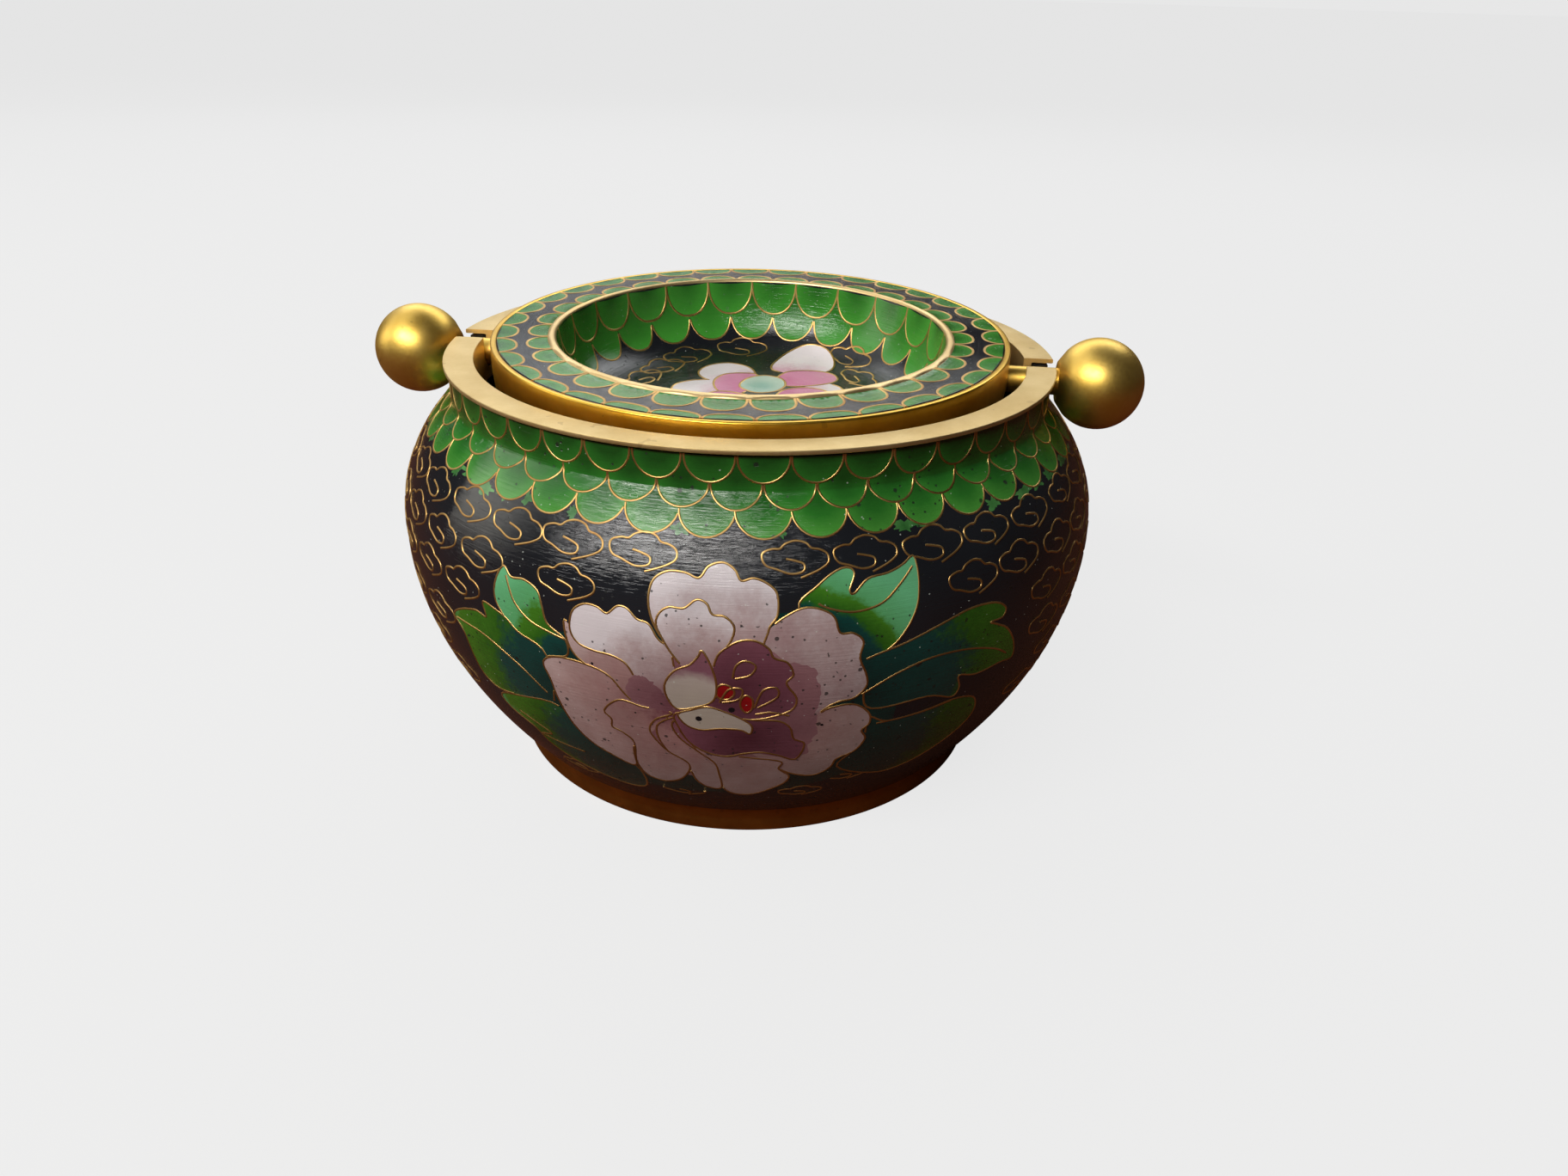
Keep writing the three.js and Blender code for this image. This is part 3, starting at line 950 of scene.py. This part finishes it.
def draw_dish_scales(drawing, count, start, root, tip, colour, behind=0.0, width=1.0, front_tip=None):
    """A ring of scales from a root to a tip, both distances along the dish's profile.

    Scales that reach behind their root are covered there by the next ring. A front tip is where those
    at the front end.
    """
    pitch = 360 / count
    for i in range(count):
        centre = start + i * pitch
        nearness = max(0.0, math.cos(math.radians(centre))) ** 2
        end = tip if front_tip is None else tip + (front_tip - tip) * nearness
        line = []
        for turn in half_turn(16):
            x = -0.5 * width * math.copysign(abs(math.cos(turn)) ** 0.9, math.cos(turn))
            line.append(polar(centre + pitch * x, root + (end - root) * math.sin(turn) ** 0.85))
        outline = list(line)
        if behind:
            outline += [polar(centre + pitch * x, root + behind) for x in (0.5 * width, -0.5 * width)]
        drawing.cell(outline, colour, polar(centre, root + behind), abs(end - root - behind))
        drawing.wire(line)


EDGE_SCALES = 35
INNER_SCALES = 31
WELL_SCALES = 24
RING_SIDES = 120
EDGE_SIDES = 168
# Places of the dish's clouds, which follow its round.
DISH_CLOUDS = [
    (-4.3, 22.1), (-12.5, 17.5), (-15.6, 12.6), (-17.6, 7.2), (15.1, 12.4), (13.6, 19.0), (-15.5, -3.5),
    (16.0, -2.5), (-8.5, -14.0), (8.0, -14.5),
]
# Petals of the dish's flower, in the order they are laid and with the same parts.
DISH_FLOWER = [
    ("snow", (3, 9), 13, [(2, 14.5), (1.2, 17.5), (3, 21.5), (6.3, 23.4), (9.6, 22), (11, 18.6),
     (10.4, 15.5), (7, 13.6)]),
    ("snow", (0, 6), 11, [(-1, 12), (-2.5, 15.8), (-5.8, 17), (-8.8, 15.2), (-9.8, 11.8), (-8, 8.8),
     (-4, 8.5)]),
    ("snow", (0, 4), 11, [(-5, 8), (-9.5, 8.2), (-12.4, 5.6), (-12, 1.8), (-9, -0.8), (-5.5, 0.4)]),
    ("snow", (2, 5), 12, [(8, 9.5), (12, 9), (13.4, 5.2), (12.4, 1), (9, -1.2), (6, 1)]),
    ("snow", (1, 4), 13, [(-7, -1), (-3, 1), (3, 0.6), (8, -1), (7.5, -6), (1.5, -8.5), (-4.5, -6)]),
    ("pink", (0, 6), 8, [(-0.5, 11.8), (-3, 12.6), (-5.8, 11.4), (-6.8, 8), (-5.6, 4), (-3, 2.6),
     (-1.2, 5)]),
    ("pink", (3, 8), 9, [(2.6, 10.8), (4, 14.4), (7.6, 15.4), (11, 14.2), (11.8, 11.2), (9, 8.8),
     (4.4, 7.6)]),
    ("pink", (3, 5), 8, [(4, 5.5), (7.5, 7.4), (10.8, 6), (11, 2.6), (8, 0), (3.5, 0.8)]),
    ("pink", (0, 4), 8, [(-3, 3.5), (-6, 3.4), (-7.4, 0.4), (-5, -2.6), (-0.5, -2), (1.5, 1)]),
    ("pale_green", (0.5, 7), 5, [(-2.6, 6.4), (-2, 10), (0.4, 12), (3.2, 11), (4.2, 8), (3, 5), (0, 4)]),
    ("leaf", (0, 1), 5, [(-1.2, 1.5), (0.2, 2.6), (1.2, 1.4), (0, 0.3)]),
]


def make_dish():
    drawing = Drawing()
    lip_in = dish_reach(WELL_RADIUS)
    lip_out = dish_reach(WELL_RADIUS + WELL_LIP)
    edge_tip = DISH_LENGTH - 2.7
    draw_dish_scales(
        drawing, EDGE_SCALES, 2.5, DISH_LENGTH, edge_tip, "flange", width=0.97, front_tip=edge_tip + 1.0
    )
    inner_tip = lip_out + 2.7
    draw_dish_scales(
        drawing, INNER_SCALES, 0.4, lip_out, inner_tip, "flange", width=0.94, front_tip=inner_tip + 1.3
    )
    drawing.cell(circle(lip_out, RING_SIDES), "ring", (0, 0), 30)
    drawing.cell(circle(lip_in, RING_SIDES), "black", (0, 0), 60)
    draw_dish_scales(drawing, WELL_SCALES, 7.0, lip_in - 4.4, lip_in - 9.2, "well", behind=4.0)
    draw_dish_scales(drawing, WELL_SCALES, 14.5, lip_in, lip_in - 5.0, "well")
    for x, y in DISH_CLOUDS:
        spin = Matrix.Rotation(math.atan2(y, x) - math.pi / 2, 2)
        drawing.wire(smooth([Vector((x, y)) + spin @ Vector(p) for p in CLOUD], steps=4))
    for colour, root, reach, outline in DISH_FLOWER:
        line = smooth(outline, True)
        drawing.cell(line, colour, root, reach)
        drawing.wire(line, True)
    filler = [Vector((0.0, 0.0))]
    rings = round(DISH_LENGTH / DISH_RING_STEP)
    for j in range(1, rings):
        distance = DISH_LENGTH * j / rings
        filler += circle(distance, max(6, round(math.tau * distance / DISH_STEP)), 0.5 * (j % 2))
    skin = drawing.laid("dish_enamel", circle(DISH_LENGTH, EDGE_SIDES), [], filler, wrap_dish, "black")
    add_underside(skin)
    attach(skin, "tipping_dish")
    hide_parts("dish")
    wires = drawing.wired("dish_wires", wrap_dish, DISH_WIRE_RADIUS)
    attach(wires, "tipping_dish")


def add_underside(skin):
    """Closes the dish with its edge and its plain underside, ring by ring from the skin's border."""
    top = DISH_ABOVE_PIVOT
    under = [(DISH_EDGE, top - DISH_THICKNESS), (WELL_RADIUS + 1.9, top - DISH_THICKNESS)]
    for i in range(1, 13):
        radius, height = well_point(math.pi / 2 * i / 12)
        drop = DISH_THICKNESS + (DISH_FLOOR_THICKNESS - DISH_THICKNESS) * i / 12
        under.append((radius + DISH_THICKNESS, height - drop))
    shape = bmesh.new()
    shape.from_mesh(skin.data)
    flat = TILT.inverted()
    rim = {vertex for edge in shape.edges if edge.is_boundary for vertex in edge.verts}
    rim = sorted(rim, key=lambda vertex: math.atan2(*(flat @ (vertex.co / MM)).xy))
    before = rim
    for radius, height in under:
        ring = []
        for vertex in rim:
            place = flat @ (vertex.co / MM)
            facing = Vector((place.x, place.y, 0)).normalized()
            ring.append(shape.verts.new((TILT @ (facing * radius + Vector((0, 0, height)))) * MM))
        for i in range(len(rim)):
            j = (i + 1) % len(rim)
            face = shape.faces.new((before[i], before[j], ring[j], ring[i]))
            face.smooth = True
        before = ring
    middle = shape.verts.new((TILT @ Vector((0, 0, top - WELL_DEPTH - DISH_FLOOR_THICKNESS))) * MM)
    for i in range(len(rim)):
        face = shape.faces.new((before[i], before[(i + 1) % len(rim)], middle))
        face.smooth = True
    bmesh.ops.recalc_face_normals(shape, faces=shape.faces)
    shape.to_mesh(skin.data)
    shape.free()


# Turned brass


def turned(name, profile, finish, steps, axis="Z"):
    """A closed (radius, height) outline turned round an axis. Points at radius 0 close the ends."""
    shape = bmesh.new()
    rings = []
    for radius, height in profile:
        if radius < 1e-6:
            rings.append([shape.verts.new((0, 0, height * MM))])
            continue
        ring = []
        for i in range(steps):
            angle = math.tau * i / steps
            across, deep = radius * math.cos(angle), radius * math.sin(angle)
            ring.append(shape.verts.new((across * MM, deep * MM, height * MM)))
        rings.append(ring)
    closed = len(rings[0]) > 1 and len(rings[-1]) > 1
    pairs = list(zip(rings, rings[1:])) + ([(rings[-1], rings[0])] if closed else [])
    for low, high in pairs:
        for i in range(steps):
            j = (i + 1) % steps
            corners = [low[i % len(low)], low[j % len(low)], high[j % len(high)], high[i % len(high)]]
            shape.faces.new(list(dict.fromkeys(corners)))
    bmesh.ops.recalc_face_normals(shape, faces=shape.faces)
    if axis == "X":
        bmesh.ops.transform(shape, matrix=Matrix.Rotation(math.pi / 2, 4, "Y"), verts=shape.verts)
    mesh = bpy.data.meshes.new(name)
    shape.to_mesh(mesh)
    shape.free()
    mesh.materials.append(finish)
    mesh.shade_smooth()
    return added(name, mesh)


def rounded(corners, radius, steps=3):
    """A closed outline with each corner rounded off."""
    soft = []
    count = len(corners)
    for i in range(count):
        here = Vector(corners[i])
        before = Vector(corners[i - 1])
        after = Vector(corners[(i + 1) % count])
        size = min(radius, (before - here).length * 0.45, (after - here).length * 0.45)
        first = here + (before - here).normalized() * size
        last = here + (after - here).normalized() * size
        for k in range(steps + 1):
            t = k / steps
            soft.append(tuple(first * (1 - t) ** 2 + here * 2 * t * (1 - t) + last * t**2))
    return soft


def notch_cutter():
    """A slot along X, round at its bottom, for both pins."""
    shape = bmesh.new()
    outline = []
    for turn in half_turn(16):
        outline.append((NOTCH_HALF_WIDTH * math.cos(turn), PIVOT_HEIGHT - NOTCH_HALF_WIDTH * math.sin(turn)))
    outline += [(-NOTCH_HALF_WIDTH, POT_HEIGHT + 2), (NOTCH_HALF_WIDTH, POT_HEIGHT + 2)]
    left, right = ([shape.verts.new((x * MM, y * MM, z * MM)) for y, z in outline] for x in (-60, 60))
    count = len(outline)
    for i in range(count):
        j = (i + 1) % count
        shape.faces.new((left[i], left[j], right[j], right[i]))
    shape.faces.new(left)
    shape.faces.new(right)
    bmesh.ops.recalc_face_normals(shape, faces=shape.faces)
    mesh = bpy.data.meshes.new("notch")
    shape.to_mesh(mesh)
    shape.free()
    return added("notch", mesh)


def cut_away(thing, cutter):
    """Takes a cutter out of a mesh and keeps the result as a plain mesh."""
    modifier = thing.modifiers.new("cut", "BOOLEAN")
    modifier.operation = "DIFFERENCE"
    modifier.solver = "EXACT"
    modifier.object = cutter
    thing.data = kept_mesh(thing)
    bpy.data.objects.remove(cutter)


def sharpened(thing, degrees=30):
    thing.data.set_sharp_from_angle(angle=math.radians(degrees))


def make_rim():
    inner = RIM_RADIUS - RIM_WIDTH
    skirt = NECK_RADIUS - BODY_WALL - SEAT_GAP
    low = POT_HEIGHT - RIM_SKIRT
    under = POT_HEIGHT - RIM_LIP
    corners = [(inner, low), (skirt, low), (skirt, under)]
    corners += [(RIM_RADIUS, under), (RIM_RADIUS, POT_HEIGHT), (inner, POT_HEIGHT)]
    rim = turned("rim_lip", rounded(corners, RIM_ROUNDING), RIM_BRASS, 240)
    cut_away(rim, notch_cutter())
    sharpened(rim)
    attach(rim, "pot")
    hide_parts("rim_ring")


def make_foot():
    inner = FOOT_RADIUS - FOOT_WALL
    top = FOOT_HEIGHT + 0.2
    waist = (FOOT_RADIUS - FOOT_FLARE / 2, FOOT_HEIGHT / 2)
    corners = [(inner, 0), (FOOT_RADIUS, 0), waist, (FOOT_RADIUS + FOOT_FLARE, top), (inner, top)]
    foot = turned("foot_band", rounded(corners, FOOT_ROUNDING), FOOT_BRASS, 200)
    sharpened(foot, 50)
    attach(foot, "pot")
    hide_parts("foot_ring")


def make_band():
    low = DISH_ABOVE_PIVOT - BAND_HEIGHT
    top = DISH_ABOVE_PIVOT
    inner = DISH_RADIUS - BAND_WALL
    corners = [(inner, low), (DISH_RADIUS - BAND_TAPER, low), (DISH_RADIUS, top - BAND_STRAIGHT)]
    corners += [(DISH_RADIUS, top), (inner, top)]
    band = turned("dish_edge_band", rounded(corners, BAND_ROUNDING, 4), BAND_BRASS, 240)
    place_dish_piece(band)
    sharpened(band, 50)
    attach(band, "tipping_dish")
    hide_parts("dish_band")


def place_dish_piece(thing):
    thing.data.transform(Matrix.Scale(MM, 4) @ TILT @ Matrix.Scale(1 / MM, 4))


def make_knobs():
    neck = RIM_RADIUS + KNOB_NECK_GAP
    centre = neck + KNOB_CONE_LENGTH + BALL_RADIUS * math.sin(KNOB_CONE)
    start = math.pi / 2 + KNOB_CONE
    ball = []
    for i in range(25):
        angle = start * (1 - i / 24)
        ball.append((BALL_RADIUS * math.sin(angle), centre + BALL_RADIUS * math.cos(angle)))
    ball[-1] = (0.0, centre + BALL_RADIUS)
    first = DISH_RADIUS + 0.02
    profile = [(0, first), (PIN_RADIUS, first), (PIN_RADIUS, neck), (KNOB_NECK_RADIUS, neck), *ball]
    for name, turn in (("knob_right", 0), ("knob_left", math.pi)):
        knob = turned(name + "_brass", profile, KNOB_BRASS, 64, "X")
        knob.data.transform(Matrix.Rotation(turn, 4, "Z"))
        place_dish_piece(knob)
        sharpened(knob, 50)
        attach(knob, "tipping_dish")
        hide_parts(name)


def dress_pot_inside():
    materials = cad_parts["pot_body"].data.materials
    materials.clear()
    materials.append(FINISHES["inside"])


make_pot()
make_dish()
make_rim()
make_foot()
make_band()
make_knobs()
dress_pot_inside()


# Floor, light and camera


BACKDROP = 0.78
BACKDROP_TONE = (0.80, 0.80, 0.80, 1)
FLOOR_TONE = (0.06, 0.06, 0.06, 1)
TABLE_TONE = (0.085, 0.03, 0.018, 1)
ROOM_TONE = (0.035, 0.03, 0.028, 1)
# Lamps: name, place, the spot they face, size in metres, power in watts, tint.
LAMPS = [
    ("window", (-0.29, -0.59, 0.58), (0, 0, 0.045), (0.62, 0.12), 7.6, (1, 0.98, 0.95)),
    ("left_wall", (-0.75, -0.05, 0.26), (0, 0, 0.04), (0.35, 0.3), 0.8, (1, 0.96, 0.86)),
    ("upper_left", (-0.5, 0.1, 0.64), (0, 0, 0.05), (0.7, 0.7), 1.4, (1, 0.99, 0.96)),
    ("back_low", (-0.45, 0.9, 0.32), (0, 0, 0.05), (0.9, 0.22), 0.45, (0.93, 0.96, 1)),
    ("back_wall", (0.0, 0.72, 0.66), (0, 0, 0.05), (1.3, 0.4), 4.8, (0.97, 0.99, 1)),
]


def make_floor():
    """A plain pale floor, even as the camera sees it, whose reflection in the pot is a red-brown table."""
    finish = Finish("studio_floor")
    seen = finish.node("ShaderNodeLightPath", output="Is Camera Ray")
    finish.set(Base_Color=finish.mixed(seen, TABLE_TONE, FLOOR_TONE), Roughness=0.9, Specular_IOR_Level=0.0)
    finish.set(Emission_Color=(1, 1, 1, 1), Emission_Strength=seen * BACKDROP)
    bpy.ops.mesh.primitive_plane_add(size=60, location=(0, 0, 0))
    floor = bpy.context.object
    floor.name = "floor"
    floor.data.materials.append(finish.material)


def make_lamp(name, place, target, size, power, tint):
    lamp = bpy.data.lights.new(name, "AREA")
    lamp.shape = "RECTANGLE"
    lamp.size, lamp.size_y = size
    lamp.energy = power
    lamp.color = tint
    held = added(name, lamp)
    held.location = place
    held.rotation_euler = (Vector(target) - Vector(place)).to_track_quat("-Z", "Y").to_euler()
    held.visible_camera = False


def make_camera():
    camera = bpy.data.cameras.new("camera")
    camera.sensor_width = 36
    camera.lens = FOCAL_PIXELS / PHOTO_WIDTH * camera.sensor_width
    camera.clip_start = 0.01
    held = added("camera", camera)
    turn = Matrix.Rotation(CAMERA_YAW, 4, "Z") @ Matrix.Rotation(math.pi / 2 - CAMERA_PITCH, 4, "X")
    held.matrix_world = Matrix.Translation(CAMERA_PLACE) @ turn @ Matrix.Rotation(CAMERA_ROLL, 4, "Z")
    bpy.context.scene.camera = held


def make_sky():
    """A dim room round the pot, and a pale backdrop for the camera."""
    bpy.context.scene.view_settings.view_transform = "Standard"
    world = bpy.data.worlds.new("studio")
    bpy.context.scene.world = world
    world.use_nodes = True
    nodes = world.node_tree.nodes
    path = nodes.new("ShaderNodeLightPath")
    tone = nodes.new("ShaderNodeMix")
    tone.data_type = "RGBA"
    tone.inputs[6].default_value = ROOM_TONE
    tone.inputs[7].default_value = BACKDROP_TONE
    world.node_tree.links.new(path.outputs["Is Camera Ray"], tone.inputs[0])
    world.node_tree.links.new(tone.outputs[2], nodes["Background"].inputs["Color"])


make_floor()
make_sky()
for lamp in LAMPS:
    make_lamp(*lamp)
make_camera()
